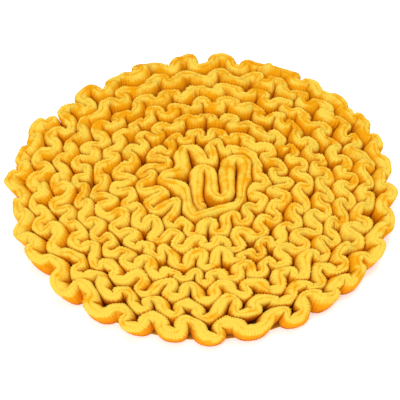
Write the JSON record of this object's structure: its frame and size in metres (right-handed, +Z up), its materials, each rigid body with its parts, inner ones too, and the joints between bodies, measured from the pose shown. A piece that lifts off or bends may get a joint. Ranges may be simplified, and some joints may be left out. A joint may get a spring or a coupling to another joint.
{
  "type": "snuffle mat",
  "caption": "Round snuffle mat: a soft plush strip set on edge and ruffled in a spiral on a round base cloth, with gaps between the folds to hide treats.",
  "frame": {"origin": "middle of the underside of the round base cloth, at floor level", "axes": "+Z up, from the floor to the tops of the folds; +Y towards the back of the mat as pictured, +X to the right"},
  "size_m": [0.4423, 0.4393, 0.0369],
  "materials": {
    "plush": "short ribbed plush pile, matt with a soft sheen",
    "base": "plain woven cloth, matt"
  },
  "bodies": {
    "root": {"base_cloth": "base", "ruffle_1": "plush", "ruffle_2": "plush", "ruffle_3": "plush", "ruffle_4": "plush", "ruffle_5": "plush", "ruffle_6": "plush", "ruffle_7": "plush", "ruffle_8": "plush"}
  },
  "joints": []
}
